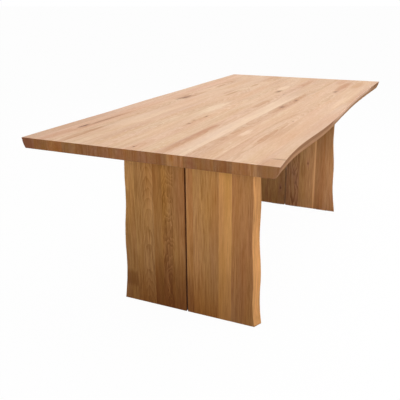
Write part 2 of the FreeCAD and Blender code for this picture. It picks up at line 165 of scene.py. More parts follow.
# Every stave is cut out of a log of its own. Growth rings run round a wandering pith, so the
# faces, the edges and the end grain of a stave agree with each other.
woodLook = {
    "wander": 0.020,           # how far the pith strays along a stave
    "broad": {"Scale": 78, "Detail": 3, "Roughness": 0.62},     # years that grew fast or slowly
    "late": (2.2, 0.3),        # how sharply a ring darkens outwards, and its mean
    "stroke": (4, 0.6),        # detail and roughness of streak, dash and cloud
    "fibre": 0.3,              # how much fibres and pores darken
    "pore": 0.25,
    "middle": 0.45,            # tone of plain wood, on the span from light to dark
    "span": (-0.15, 1.15),
    "heartShare": 0.3,         # red heartwood in any stave
    "knot": (0.15, 0.058, 0.022),     # colours of knots and cracks,
    "halo": (0.36, 0.165, 0.078),     # of stained wood round a knot
    "fleck": (0.82, 0.62, 0.45),      # and of rays in the wood, cut lengthwise
    "patch": (0.5, 1.2),       # where a patch begins to fade and where it ends
    "patchRagged": 1.3,
    "patchRed": 0.25,
    "crack": (0.4, 1.1),
    "crackBend": 0.012,
    "floorShadeFrom": -0.04,         # painted shade: the legs darken towards the floor between these heights
    "floorShadeTo": 0.26,
    "floorShadeRagged": 0.08,
    "bump": (0.0004, 0.55),    # depth and strength, and the height of each kind of mark
    "height": {"pore": -1.0, "late": 0.18, "fibre": 0.2, "dash": 0.2, "knot": -0.8},
    "dull": {"dash": 0.16, "pore": 0.15, "knot": 0.1, "end": 0.22},   # loss of gloss
    "facing": (0.45, 0.68),    # how squarely a face looks along the grain to be an end
    "sawn": (1.75, -0.1, 0.42),       # strength of the rings on an end, and their span
    "endHue": 0.028,           # how far hue and saturation wander on an end
    "endSaturation": 0.3,
    "endShift": 7,
    # The top's palette is the legs' oak made paler: painted sheen of the light falling on the top,
    # besides its gloss.
    "top": {
        "light": (0.80, 0.565, 0.388), "dark": (0.50, 0.248, 0.118), "heart": (0.56, 0.28, 0.16),
        "end": (0.40, 0.285, 0.164),
        # shift along the log, how often along and across in a metre, and how much
        "streak": (0, 8, 100, 0.50), "dash": (5, 30, 300, 0.90), "cloud": (9, 3.2, 16, 0.46),
        "bands": 0.66, "drift": 0.022, "warmth": 0.22, "roughness": 0.50, "gloss": 0.2,
    },
    "leg": {
        "light": (0.53, 0.278, 0.099), "dark": (0.197, 0.079, 0.0185),
        # foot: the colour of the painted shade that darkens the legs near the floor
        "heart": (0.28, 0.106, 0.035), "end": (0.6, 0.5, 0.4), "foot": (0.74, 0.575, 0.365),
        "streak": (0, 4.2, 150, 0.80), "dash": (5, 15, 330, 1.66), "cloud": (9, 2.0, 8, 0.36),
        "bands": 0.42, "drift": 0.02, "warmth": 0.15, "roughness": 0.52, "gloss": 0.14,
    },
}

# Rows for noiseOf.
woodNoise = {
    "sway": (0, 1.3, 0, 0, 2, 0.5),           # the pith's way across the stave
    "climb": (40, 1.7, 0, 0, 2, 0.5),         # and through it
    "wobble": (0, 7, 60, 60, 3, 0.5),         # rings out of round
    "fibre": (0, 40, 900, 900, 2, 0.5),
    "pore": (0, 75, 1500, 1500, 2, 0.5, 0.60, 0.72),
    "heart": (11, 1.1, 14, 14, 2, 0.5, 0.45, 0.75),
    "drift": (23, 1.8, 12, 12, 2, 0.5),       # slow change of hue
    "warmth": (29, 2.6, 17, 17, 2, 0.5),      # and of saturation
    "ray": (31, 26, 150, 60, 2, 0.5, 0.56, 0.68),
    "rayArea": (37, 4, 18, 18, 1, 0.5, 0.42, 0.58),
    "bend": (0, 14, 20, 20, 3, 0.5),          # the way of a crack
    "ragged": (0, 55, 120, 120, 3, 0.5),      # outline of a knot
    "drawn": (0, 16, 150, 150, 3, 0.5),       # and of its stain
    "sawn": (0, 0, 170, 9, 4, 0.6),           # rings, redness and dullness of an end
    "redder": (0, 0, 28, 10, 3, 0.5),
    "duller": (0, 0, 36, 12, 3, 0.5),
}

knotLook = {
    "slim": 0.55,              # width of a knot for its length
    "push": 0.8,               # how far it pushes the rings aside, in radii
    "fade": 0.28,              # and how fast that dies away
    "ragged": 1.5,
    "core": (0.15, 0.85),      # where the core begins to fade and where it ends
    "long": 4.2,               # reach of the stain along and across, in radii
    "wide": 1.15,
    "drawn": 1.3,
    "halo": (0.25, 1.15),
}


def staveFrame(start, along):
    # along, across and through the stave, in metres
    place = start.node("TexCoord", None, None, "Object")
    x, y, z = (place.node("SeparateXYZ", None, {0: place}, n) for n in range(3))
    return (x, y, z) if along == "x" else (z, y, x)


def distance(a, b, middle, reach):
    # from the middle of a spot, in units of its half-length and half-width
    da = (a - middle[0]) * (1 / reach[0])
    db = (b - middle[1]) * (1 / reach[1])
    return (da * da + db * db).sqrt()


def knotField(mark, a, b, knots):
    # how far each knot pushes the rings aside, its dark core, and the stain along the grain
    look = knotLook
    push, core, halo = 0, 0, 0
    ragged, drawn = mark("ragged", b, b) - 0.5, mark("drawn", b, b) - 0.5
    for along, across, radius, strength in knots:
        middle = (along, across)
        away = distance(a, b, middle, (radius / look["slim"], radius))
        push = push + (away * away * -look["fade"]).exponent() * (radius * look["push"])
        core = (strength * (1 - (away + ragged * look["ragged"]).rise(*look["core"]))).larger(core)
        beyond = distance(a, b, middle, (radius * look["long"], radius * look["wide"]))
        beyond = beyond + drawn * look["drawn"]
        halo = (strength * (1 - beyond.rise(*look["halo"]))).larger(halo)
    return push, core, halo


def woodMaterial(name, along, look):
    # look: the keys of plainStave, and a seed of its own
    material, shader, start = newMaterial(name)
    palette = woodLook["top" if along == "x" else "leg"]
    light, dark = opaque(palette["light"]), opaque(palette["dark"])
    a, b, c = staveFrame(start, along)
    seed = look["seed"]
    far = a + seed

    def mark(layer, b=b, c=c):
        return noiseOf(start, woodNoise[layer], far, b, c)

    def stroke(layer):
        shift, often, across, amount = palette[layer]
        row = (shift, often, across, across, *woodLook["stroke"])
        return (noiseOf(start, row, far, b, c) - 0.5) * amount

    # growth rings
    push, knotMask, halo = knotField(mark, a, b, look["knots"])
    sway, climb = mark("sway", 0, 0) - 0.5, mark("climb", 0, 0) - 0.5
    across = b - look["pith"][0] + sway * (2 * woodLook["wander"])
    through = c - look["pith"][1] + climb * (2 * woodLook["wander"]) + a * look["lean"]
    wobble = (mark("wobble") - 0.5) * look["wobble"]
    radius = (across * across + through * through).sqrt() + wobble + push
    ring = (radius * (1 / look["year"])).fraction()
    sharp, mean = woodLook["late"]
    late = ring.power(sharp)
    years = {"W": radius + seed, **woodLook["broad"]}
    broad = start.node("TexNoise", {"noise_dimensions": "1D"}, years)

    # figure: 0 is the palette's light, 1 its dark
    streak, dash, cloud = (stroke(layer) for layer in ("streak", "dash", "cloud"))
    fibre = mark("fibre") - 0.5
    pore = mark("pore") * (1 - ring)
    figure = (broad - 0.5) * palette["bands"] + streak + dash + fibre * woodLook["fibre"]
    figure = (figure + (late - mean) * look["rings"]) * look["contrast"] + cloud
    figure = figure + pore * woodLook["pore"] + (woodLook["middle"] + look["tone"])
    heart = mark("heart") * woodLook["heartShare"] + look["red"]
    for spot, side, length, width, amount in look["patches"]:
        away = distance(a, b, (spot, side), (length, width)) + streak * woodLook["patchRagged"]
        cover = 1 - away.rise(*woodLook["patch"])
        figure = figure + cover * amount
        heart = heart + cover * (amount * woodLook["patchRed"])
    for spot, side, length, width, amount in look["cracks"]:
        bent = b + (mark("bend") - 0.5) * woodLook["crackBend"]
        cover = 1 - distance(a, bent, (spot, side), (length, width)).rise(*woodLook["crack"])
        knotMask = (cover * amount).larger(knotMask)

    # colour, still without the end grain
    colour = figure.rise(*woodLook["span"]).tint(light, dark)
    colour = heart.tint(colour, opaque(palette["heart"]))
    rays = mark("ray") * look["fleck"] * mark("rayArea")
    colour = rays.tint(colour, opaque(woodLook["fleck"]))
    if look["knots"]:
        colour = halo.tint(colour, opaque(woodLook["halo"]))
    if look["knots"] or look["cracks"]:
        colour = knotMask.tint(colour, opaque(woodLook["knot"]))
    hue = (mark("drift") - 0.5) * palette["drift"] + (0.5 + look["hue"])
    saturation = (mark("warmth") - 0.5) * palette["warmth"] + look["strong"]
    colour = recoloured(start, colour, hue, saturation, look["level"])
    # painted shade: the legs darken towards the floor, by the palette's foot colour
    if along == "z":
        high = (a + cloud * woodLook["floorShadeRagged"]).rise(woodLook["floorShadeFrom"], woodLook["floorShadeTo"])
        colour = multiplied(start, (1 - high) * look["foot"], colour, palette["foot"])

    raised, dull = woodLook["height"], woodLook["dull"]
    height = pore * raised["pore"] + late * raised["late"] + fibre * raised["fibre"]
    height = height + dash * raised["dash"] + knotMask * raised["knot"]
    rough = palette["roughness"] + dash * dull["dash"] + pore * dull["pore"]
    rough = rough + knotMask * dull["knot"]

    # end grain
    normal = start.node("NewGeometry", None, None, "True Normal")
    lengthwise = normal.node("SeparateXYZ", None, {0: normal}, "xyz".index(along))
    facing = lengthwise.size().rise(*woodLook["facing"])
    strength, *sawnSpan = woodLook["sawn"]
    sawn, redder = (noiseOf(start, woodNoise[layer], 0, b + seed, c) - 0.5
                    for layer in ("sawn", "redder"))
    duller = noiseOf(start, woodNoise["duller"], 0, b + seed + woodLook["endShift"], c) - 0.5
    colour = (facing * (sawn * strength).rise(*sawnSpan)).tint(colour, dark)
    factors = [own * extra for own, extra in zip(palette["end"], look["end"])]
    ends = multiplied(start, 1.0, colour, factors)
    ends = recoloured(start, ends, redder * woodLook["endHue"] + 0.5,
                      duller * woodLook["endSaturation"] + 1.0, 1.0)
    colour = facing.tint(colour, ends)

    feed(shader, "Base Color", colour)
    feed(shader, "Roughness", rough + facing * dull["end"])
    feed(shader, "Normal", bump(start, height, woodLook["bump"]))
    feed(shader, "Specular IOR Level", palette["gloss"])
    return material


# The natural surface under the bark: long shallow furrows, smoother and warmer.
edgeLook = {
    "furrow": (0, 9, 190, 190, 4, 0.62),      # rows for noiseOf
    "cloud": (3, 3.5, 22, 22, 3, 0.5),
    "fleck": (7, 60, 420, 420, 2, 0.5, 0.60, 0.75),
    "clouding": 0.9,
    "flecking": 0.25,
    "middle": 0.40,            # tone of a plain edge, on the span from light to dark
    "span": (-0.2, 1.2),
    "light": 1.16,             # light and dark, for the stave's own colour
    "dark": 0.62,
    # on the legs, the heights between which painted shade darkens the edge, and how much; below 0
    # it gets lighter. It is darkest up under the top
    "heights": [(0.28, 0.46, 0.34), (0.08, 0.22, -0.18), (0.55, 0.69, 0.42)],
    "kneeRagged": 0.010,       # how ragged the strip above the knee is, and its worn part
    "wornRagged": 0.3,
    "roughness": (0.40, 0.3),  # and how much the furrows change it
    "bump": (0.0009, 0.7),
    "height": {"furrow": 0.8, "cloud": 0.5, "fleck": -0.4},
}


def edgeMaterial(name, along, look):
    material, shader, start = newMaterial(name)
    a, b, c = staveFrame(start, along)
    far = a + look["seed"]
    furrow, cloud, fleck = (noiseOf(start, edgeLook[layer], far, b, c)
                            for layer in ("furrow", "cloud", "fleck"))
    tone = (furrow - 0.5) * look["furrow"] + (cloud - 0.5) * edgeLook["clouding"]
    tone = tone + fleck * edgeLook["flecking"] + edgeLook["middle"]
    # painted shade along the legs' edges, by height
    if along == "z":
        for low, high, amount in edgeLook["heights"]:
            tone = tone + a.rise(low, high) * amount
    light, dark = (opaque(look["edge"], edgeLook[end]) for end in ("light", "dark"))
    colour = tone.rise(*edgeLook["span"]).tint(light, dark)
    # painted shade: the strip above the knee, which faces down, takes a darker colour, and a pale
    # one where it is worn
    if along == "x":
        above = (c + (cloud - 0.5) * edgeLook["kneeRagged"]).rise(*look["knee"])
        place = a + (cloud - 0.5) * edgeLook["wornRagged"]
        worn = place.rise(*look["worn"][:2]) * (1 - place.rise(*look["worn"][2:]))
        colour = above.tint(colour, worn.tint(opaque(look["edgeShadedAbove"]), opaque(look["edgePale"])))
    raised = edgeLook["height"]
    height = furrow * raised["furrow"] + cloud * raised["cloud"] + fleck * raised["fleck"]
    rough, change = edgeLook["roughness"]
    feed(shader, "Base Color", colour)
    feed(shader, "Roughness", rough + (furrow - 0.5) * change)
    feed(shader, "Normal", bump(start, height, edgeLook["bump"]))
    feed(shader, "Specular IOR Level", 0.0)
    return material


plainStave = {
    "pith": (0.0, 0.0),        # the middle of its log: across, and through the stave
    "lean": 0.03,              # how the log leans through the stave
    "year": 0.0034,            # width of a growth ring
    "wobble": 0.0045,          # how far the rings are out of round
    "rings": 0.3,              # strength of the late wood; below 0 it is the lighter
    "contrast": 0.8,
    "tone": 0.0,               # above 0 is darker
    "red": 0.0,                # red heartwood
    "level": 1.0,              # brightness
    "strong": 1.0,             # saturation
    "hue": 0.0,
    "fleck": 0.0,              # rays that show
    "foot": 1.0,               # how much painted shade darkens it towards the floor
    "end": (1.0, 1.0, 1.0),    # tint of the end grain, on top of the palette's
    "edge": (0.43, 0.235, 0.128),             # colour of the live edge
    "furrow": 1.1,             # contrast of its furrows
    "knee": (0.729, 0.737),    # heights between which the strip above the knee begins
    "edgeShadedAbove": (0.30, 0.155, 0.085),        # colour of that strip, darker as painted shade of the undercut, and where it is worn
    "edgePale": (0.66, 0.43, 0.31),
    "worn": (-0.32, -0.02, 0.60, 0.90),       # the wear begins, is full, begins to end, ends
    "knots": [], "patches": [], "cracks": [],
}

# The top, front to back. A knot is (along, across, radius, strength), and one of strength 0
# only bends the rings. A patch is (along, across, half-length, half-width, darkening) and so
# is a crack, all in metres on the table.
topStaves = {
    "top_stave_01": {
        "pith": (-0.62, 0.6), "contrast": 0.6, "level": 0.98, "strong": 0.96, "hue": 0.001,
        "end": (1.1, 1.22, 1.38),
        "cracks": [(-0.912, -0.48, 0.008, 0.04, 0.4)],
        "patches": [(-0.965, -0.47, 0.065, 0.045, 0.26), (0.45, -0.46, 0.3, 0.03, 0.14)],
    },
    "top_stave_02": {
        "pith": (-0.22, 0.58), "contrast": 0.65, "hue": 0.002, "fleck": 0.4,
        "end": (1.08, 1.05, 1.08),
        "patches": [(-1.0, -0.421, 0.008, 0.017, -1.5), (-0.5, -0.36, 0.22, 0.018, 0.26),
                    (0.8, -0.37, 0.14, 0.03, 0.3), (0.2, -0.41, 0.2, 0.02, -0.2)],
    },
    "top_stave_03": {
        "pith": (-0.33, 0.69), "lean": 0.02, "contrast": 1.0, "level": 0.96,
        "end": (0.9, 0.9, 0.96),
        "knots": [(0.515, -0.315, 0.013, 0.62), (-0.32, -0.338, 0.004, 0.5)],
        "patches": [(0.72, -0.31, 0.2, 0.024, 0.45), (-0.6, -0.335, 0.2, 0.014, 0.34)],
    },
    "top_stave_04": {
        "pith": (-0.05, 0.66), "contrast": 0.65, "level": 0.99, "hue": 0.001, "fleck": 0.5,
        "end": (0.94, 0.98, 1.04),
        "patches": [(-0.6, -0.236, 0.06, 0.018, -0.34), (-0.95, -0.25, 0.12, 0.03, 0.1),
                    (0.9, -0.26, 0.12, 0.03, 0.25)],
    },
    "top_stave_05": {
        "pith": (-0.19, 0.7), "lean": -0.02, "contrast": 1.0, "level": 0.94, "fleck": 0.3,
        "end": (0.96, 0.96, 1.02),
        "knots": [(-0.025, -0.193, 0.012, 0.72), (0.168, -0.201, 0.009, 0.8)],
        "patches": [(0.05, -0.195, 0.3, 0.024, 0.4), (-0.55, -0.2, 0.3, 0.016, 0.16)],
    },
    "top_stave_06": {
        "pith": (0.12, 0.6), "contrast": 0.6, "tone": -0.16, "level": 1.02, "strong": 0.93,
        "hue": 0.004, "fleck": 0.4, "end": (1.13, 1.13, 1.18),
        "patches": [(0.85, -0.14, 0.75, 0.06, 0.34)],
    },
    "top_stave_07": {
        "pith": (-0.08, 0.68), "contrast": 1.0, "level": 0.96, "hue": -0.002,
        "end": (0.94, 0.95, 0.98),
        "knots": [(0.32, -0.088, 0.008, 0.35)],
        "patches": [(-0.75, -0.082, 0.3, 0.02, 0.42), (-0.62, -0.075, 0.12, 0.012, 0.3),
                    (0.05, -0.075, 0.16, 0.016, 0.22), (0.6, -0.09, 0.3, 0.02, 0.2)],
    },
    "top_stave_08": {
        "pith": (0.22, 0.62), "hue": 0.002, "fleck": 0.5, "end": (0.93, 0.89, 1.01),
        "knots": [(0.412, -0.03, 0.014, 0.75)],
        "patches": [(0.54, -0.018, 0.1, 0.024, -0.3), (-0.3, -0.03, 0.3, 0.02, 0.1)],
    },
    "top_stave_09": {
        "pith": (0.03, 0.67), "level": 0.99, "hue": 0.001, "fleck": 0.45,
        "knots": [(-0.952, 0.043, 0.005, 0.9), (-0.528, 0.04, 0.008, 0.45),
                  (-0.365, 0.038, 0.007, 0.6), (-0.46, 0.05, 0.005, 0.4)],
        "patches": [(-0.46, 0.04, 0.14, 0.014, 0.16)],
    },
    "top_stave_10": {
        "pith": (0.26, 0.57), "contrast": 0.7, "hue": 0.002, "fleck": 0.6,
        "end": (0.96, 0.93, 1.05),
        "patches": [(-0.15, 0.09, 0.16, 0.03, -0.3), (0.8, 0.09, 0.2, 0.03, 0.14)],
    },
    "top_stave_11": {
        "pith": (0.15, 0.685), "contrast": 0.9, "level": 0.99, "hue": 0.002, "fleck": 0.7,
        "end": (0.94, 0.93, 1.08),
        "patches": [(0.88, 0.17, 0.16, 0.05, 0.24), (0.27, 0.182, 0.1, 0.01, 0.5),
                    (0.58, 0.172, 0.07, 0.01, 0.45)],
    },
    "top_stave_12": {
        "pith": (0.42, 0.63), "contrast": 0.7, "level": 0.99, "fleck": 0.5,
        "end": (0.92, 0.87, 0.95),
        "cracks": [(0.28, 0.2, 0.1, 0.0018, 0.25)],
        "patches": [(-0.75, 0.21, 0.25, 0.018, 0.18), (0.3, 0.215, 0.1, 0.014, 0.3)],
    },
    "top_stave_13": {
        "pith": (0.24, 0.64), "contrast": 0.65, "level": 1.05, "strong": 0.96, "hue": 0.003,
        "patches": [(-0.9, 0.3, 0.2, 0.02, 0.16), (0.6, 0.28, 0.3, 0.03, 0.12)],
    },
    "top_stave_14": {
        "pith": (0.35, 0.7), "contrast": 1.05, "level": 0.99, "hue": 0.001,
        "end": (1.27, 1.25, 1.18),
        "knots": [(0.05, 0.352, 0.021, 0.62)],
        "cracks": [(0.01, 0.364, 0.06, 0.0034, 0.9), (0.05, 0.346, 0.06, 0.0028, 0.9),
                   (0.1, 0.356, 0.04, 0.0028, 0.7)],
        "patches": [(-0.88, 0.34, 0.14, 0.022, 0.45), (-0.76, 0.335, 0.06, 0.012, 0.4),
                    (0.18, 0.335, 0.1, 0.025, 0.3), (0.5, 0.347, 0.09, 0.01, 0.55),
                    (-0.35, 0.345, 0.16, 0.018, 0.16)],
    },
    "top_stave_15": {
        "pith": (0.47, 0.67), "contrast": 0.95, "level": 1.03, "hue": -0.004,
        "end": (1.09, 1.09, 1.12),
        "knots": [(-0.735, 0.412, 0.012, 0.6)],
        "cracks": [(-0.735, 0.416, 0.05, 0.005, 1.0), (-0.62, 0.404, 0.09, 0.0036, 0.85),
                   (-0.52, 0.401, 0.07, 0.0026, 0.6)],
        "patches": [(-0.6, 0.4, 0.26, 0.02, 0.42), (-0.9, 0.42, 0.12, 0.03, 0.2)],
    },
    "top_stave_16": {
        "pith": (0.6, 0.6), "red": 0.08, "level": 1.02, "strong": 0.94, "end": (1.12, 1.05, 1.44),
        "patches": [(-0.75, 0.48, 0.35, 0.05, 0.22), (-1.0, 0.487, 0.01, 0.026, 0.4)],
    },
}

# The legs: the places are height, and across the table from its middle line.
legStaves = {
    "left_back_leg_stave_5": {
        "pith": (0.3, -0.62), "level": 1.1, "foot": 0.6,
        "patches": [(0.103, 0.225, 0.038, 0.11, 0.42), (0.12, 0.225, 0.28, 0.2, 0.14),
                    (0.64, 0.225, 0.2, 0.2, -0.12)],
    },
    "left_back_leg_stave_4": {
        "pith": (0.13, -0.8), "lean": 0.06, "contrast": 0.92,
        "patches": [(0.02, 0.146, 0.14, 0.1, 0.12)],
    },
    "left_back_leg_stave_3": {
        "pith": (0.02, -0.62), "contrast": 0.65, "level": 0.86, "strong": 1.05, "hue": -0.004,
        "patches": [(0.03, 0.083, 0.22, 0.05, 0.34)],
    },
    "left_back_leg_stave_2": {
        "pith": (0.034, -0.735), "lean": 0.1, "year": 0.004, "wobble": 0.01, "rings": -0.35,
        "contrast": 1.15, "level": 0.84, "strong": 1.05, "hue": -0.006,
        "knots": [(0.6, 0.024, 0.01, 0), (0.496, 0.027, 0.008, 0), (0.429, 0.034, 0.01, 0),
                  (0.33, 0.034, 0.013, 0), (0.253, 0.042, 0.009, 0), (0.199, 0.037, 0.008, 0),
                  (0.083, 0.04, 0.01, 0)],
        "patches": [(0.06, 0.036, 0.21, 0.05, 0.37), (0.315, 0.036, 0.06, 0.022, 0.16)],
    },
    "left_back_leg_stave_1": {
        "pith": (-0.1, -0.66), "contrast": 0.85, "level": 0.88, "strong": 1.02, "hue": -0.003,
        # Its second patch is painted shade: a dark strip on the wall of the gap between the leg's
        # halves.
        "patches": [(0.05, -0.012, 0.2, 0.05, 0.26), (0.355, -0.0395, 1.2, 0.0026, 0.62)],
    },
    "left_front_leg_stave_1": {
        "pith": (-0.2, -0.75), "contrast": 0.75, "red": 0.11, "level": 1.09, "hue": -0.006,
        "patches": [(0.03, -0.06, 0.16, 0.05, 0.2), (0.4, -0.049, 0.5, 0.006, -0.14)],
    },
    "left_front_leg_stave_2": {
        "pith": (-0.24, -0.7), "level": 1.11,
    },
    "left_front_leg_stave_3": {
        "pith": (-0.06, -0.6), "contrast": 0.6, "tone": -0.12, "level": 1.3, "strong": 1.02,
        "foot": 0.45,
        "patches": [(0.02, -0.212, 0.24, 0.08, 0.07)],
    },
    "left_front_leg_stave_4": {
        "pith": (-0.42, -0.72), "contrast": 0.85, "red": 0.14, "level": 1.03, "hue": -0.005,
        "foot": 0.18, "edge": (0.57, 0.278, 0.104),
    },
    "right_front_leg_stave_1": {
        "pith": (-0.05, 0.72), "lean": 0.09, "year": 0.009, "wobble": 0.016, "rings": 1.1,
        "contrast": 1.3, "red": 0.22, "level": 0.88, "strong": 0.95, "hue": -0.007, "foot": 0.3,
        "knots": [(0.215, -0.052, 0.016, 0.6), (0.155, -0.066, 0.012, 0.5)],
    },
    "right_front_leg_stave_2": {
        "pith": (0.02, 0.66), "contrast": 0.7, "level": 1.03, "strong": 0.96, "hue": -0.003,
        "foot": 0.3,
        "knots": [(0.285, -0.136, 0.009, 0.7)],
        "patches": [(0.3, -0.178, 0.6, 0.006, -0.6), (0.25, -0.108, 0.07, 0.016, 0.2)],
    },
    "right_front_leg_stave_3": {
        "pith": (-0.36, 0.7), "contrast": 0.7, "red": 0.34, "level": 0.9, "strong": 0.98,
        "hue": -0.008, "foot": 0.3,
    },
    "right_front_leg_stave_4": {
        "pith": (-0.38, 0.68), "red": 0.16, "level": 0.93, "strong": 0.96, "hue": -0.005,
        "foot": 0.3, "edge": (0.58, 0.29, 0.11),
    },
    "right_back_leg_stave_1": {
        "pith": (0.1, 0.7), "contrast": 1.1, "red": 0.16, "level": 0.84, "strong": 0.98,
        "hue": -0.003, "foot": 0.3,
        "knots": [(0.11, 0.03, 0.009, 0.9)],
        "cracks": [(0.05, 0.006, 0.03, 0.003, 0.5)],
    },
    "right_back_leg_stave_2": {
        "pith": (0.2, 0.74), "lean": 0.04, "contrast": 1.1, "level": 0.92, "hue": -0.004,
        "foot": 0.3,
    },
    "right_back_leg_stave_3": {
        "pith": (-0.05, 0.66), "level": 1.06, "foot": 0.3,
    },
    "right_back_leg_stave_4": {
        "pith": (0.38, 0.7), "red": 0.1, "level": 0.94, "foot": 0.3, "edge": (0.58, 0.29, 0.11),
    },
}

# Every stave has noise of its own: the first seed of a family, and the step to the next.
families = [
    {"staves": topStaves, "firstSeed": 3.7, "seedStep": 5.3, "common": {}},
    {"staves": legStaves, "firstSeed": 101.0, "seedStep": 4.9,
     "common": {"edge": (0.60, 0.32, 0.11), "furrow": 2.4}},
]
woods = {}
for family in families:
    for order, (name, changes) in enumerate(family["staves"].items()):
        seed = family["firstSeed"] + family["seedStep"] * order
        woods[name] = {**plainStave, **family["common"], "seed": seed, **changes}


def dress(thing, *materials):
    slots = thing.data.materials
    for place, material in enumerate(materials):
        if place < len(slots):
            slots[place] = material
        else:
            slots.append(material)


for name, look in woods.items():
    dress(nodes[name], woodMaterial(name, "x" if name in topStaves else "z", look))
print("wood made:", len(woods), "staves")


# A live stave of the frame is replaced by a finer copy: the same outline, with softened
# arrises and the furrows and hollows of a debarked edge.
edgeShape = {
    "station": 0.005,          # spacing of the sections along a stave
    "arris": 0.0016,           # softening of the sawn corners
    "knee": 0.0075,
    "turns": 4,                # steps round a corner
    "steps": 5,                # steps along a facet
    "chamfer": 0.0015,         # at the sawn ends of the top
    "rim": 0.003,              # the knee is at least this far from both faces of the top
    # depth, how often in a metre along and through, shift, strength, and the fractal's own
    "furrow": (0.0007, 22, 260, 0, 1.0, (0.8, 2.1, 3)),
    "hollow": (0.0010, 7.5, 45, 20, 0.8, (0.9, 2.0, 2)),
}


def pointsOf(node):
    return np.array([vertex.co[:] for vertex in node.data.vertices])


def meshOf(shape, name):
    mesh = bpy.data.meshes.new(name)
    shape.to_mesh(mesh)
    shape.free()
    return mesh


def placed(name, data):
    # a new object in the scene
    thing = bpy.data.objects.new(name, data)
    scene.collection.objects.link(thing)
    return thing


def skin(shape, rings):
    # a closed skin over a row of rings; gives back the faces between them, ring by ring
    between = []
    for ring, beyond in zip(rings, rings[1:]):
        for k in range(len(ring)):
            j = (k + 1) % len(ring)
            between.append(shape.faces.new((ring[k], ring[j], beyond[j], beyond[k])))
    shape.faces.new(rings[0])
    shape.faces.new(rings[-1])
    bmesh.ops.recalc_face_normals(shape, faces=shape.faces)
    return between


def outlineAt(points, axis, value, side, along):
    # where the frame's stave has its edge on one of its levels: along the grain, outwards
    onLevel = np.abs(points[:, axis] - value) < touching
    places, out = points[onLevel, along], side * points[onLevel, 1]
    keys = np.round(places, 5)     # one spot, to a hundredth of a millimetre
    order = np.unique(keys)
    reach = np.array([out[keys == key].max() for key in order])
    return order, reach


def spread(order, reach, stations):
    # a smooth line through the frame's points
    slopes = np.gradient(reach, order)
    cell = np.clip(np.searchsorted(order, stations) - 1, 0, len(order) - 2)
    width = order[cell + 1] - order[cell]
    part = np.clip((stations - order[cell]) / width, 0, 1)
    start = reach[cell] * (1 + 2 * part) * (1 - part) ** 2
    start = start + slopes[cell] * width * part * (1 - part) ** 2
    finish = reach[cell + 1] * part ** 2 * (3 - 2 * part)
    finish = finish + slopes[cell + 1] * width * part ** 2 * (part - 1)
    return start + finish


def liveStave(name, along, side, levels, look):
    # levels: places through the thickness where the frame has an outline
    points = pointsOf(nodes[name])
    depthAxis = 2 if along == 0 else 0
    low, high = points[:, along].min(), points[:, along].max()
    count = int(round((high - low) / edgeShape["station"])) + 1
    stations = np.linspace(low, high, count)
    trim = edgeShape["chamfer"]
    if along == 0:
        stations = np.concatenate([[low, low + trim], stations[1:-1], [high - trim, high]])
    outlines = [spread(*outlineAt(points, depthAxis, level, side, along), stations)
                for level in levels]
    joint = np.full(len(stations), (side * points[:, 1]).min())

    corners = [(joint, levels[0]), *zip(outlines, levels), (joint, levels[-1])]
    section, natural = roundedSection(corners)
    soften(section, natural, stations, look["seed"])
    if along == 0:
        for end in (0, -1):
            section[end, :, 1] = np.clip(section[end, :, 1], min(levels) + trim, max(levels) - trim)
    return sectionMesh(name, stations, section, natural, along, side)


def roundedSection(corners):
    # rounds every corner between the first and the last; marks what lies on the live edge
    chain = np.stack([np.stack([out, np.full(len(out), depth)], 1) for out, depth in corners], 1)
    turns, steps = edgeShape["turns"], edgeShape["steps"]
    points, natural = [chain[:, 0]], [False]
    last = chain.shape[1] - 2
    for corner in range(1, last + 1):
        before, here, after = (chain[:, corner + k] for k in (-1, 0, 1))
        radius = edgeShape["arris"] if corner in (1, last) else edgeShape["knee"]
        enter = here + (before - here) * (radius / np.linalg.norm(before - here, axis=1))[:, None]
        leave = here + (after - here) * (radius / np.linalg.norm(after - here, axis=1))[:, None]
        if corner > 1:
            for step in range(1, steps):
                points.append(points[-step] + (enter - points[-step]) * (step / steps))
                natural.append(True)
        for turn in range(turns + 1):
            t = turn / turns
            points.append(enter * (1 - t) ** 2 + here * (2 * t * (1 - t)) + leave * t ** 2)
            natural.append(corner not in (1, last) or (t > 0 if corner == 1 else t < 1))
    points.append(chain[:, -1])
    natural.append(False)
    return np.stack(points, 1), np.array(natural)


def carved(kind, place, depth, seed):
    # how deep a furrow or hollow goes at one spot
    deepest, along, through, shift, strength, shape = edgeShape[kind]
    level = noise.fractal(Vector((place * along, depth * through, seed + shift)), *shape)
    return deepest * min(max(0.5 + strength * level, 0), 1)


def soften(section, natural, stations, seed):
    # pushes the live edge inwards by furrows along the grain and by broad hollows
    for row, place in enumerate(stations):
        for column in np.flatnonzero(natural):
            out, depth = section[row, column]
            for kind in ("furrow", "hollow"):
                out = out - carved(kind, place, depth, seed)
            section[row, column, 0] = out


def sectionMesh(name, stations, section, natural, along, side):
    shape = bmesh.new()
    rings = []
    for station, row in zip(stations, section):
        places = [(station, side * out, depth) for out, depth in row]
        rings.append([shape.verts.new(place if along == 0 else place[::-1]) for place in places])
    columns = len(natural)
    for number, face in enumerate(skin(shape, rings)):
        column = number % columns
        face.material_index = int(natural[column] or natural[(column + 1) % columns])
        face.smooth = 0 < column < columns - 2
    return placed(name + "_dressed", meshOf(shape, name + "_dressed"))


# The battens' grooves run out through the back edge. A plug of wood closes each mouth.
grooveShape = {
    "room": 0.0001,            # at each side of the batten
    "overlap": 0.01,           # how far the cutter begins inside the batten's end
    "below": 0.01,             # and how far it reaches below the underside
    "outTo": 0.60,             # across the table, past the back edge
    "plugGap": 0.0003,         # between the batten's end and the plug
    "plugSeed": {"left": 91.0, "right": 95.0},
}


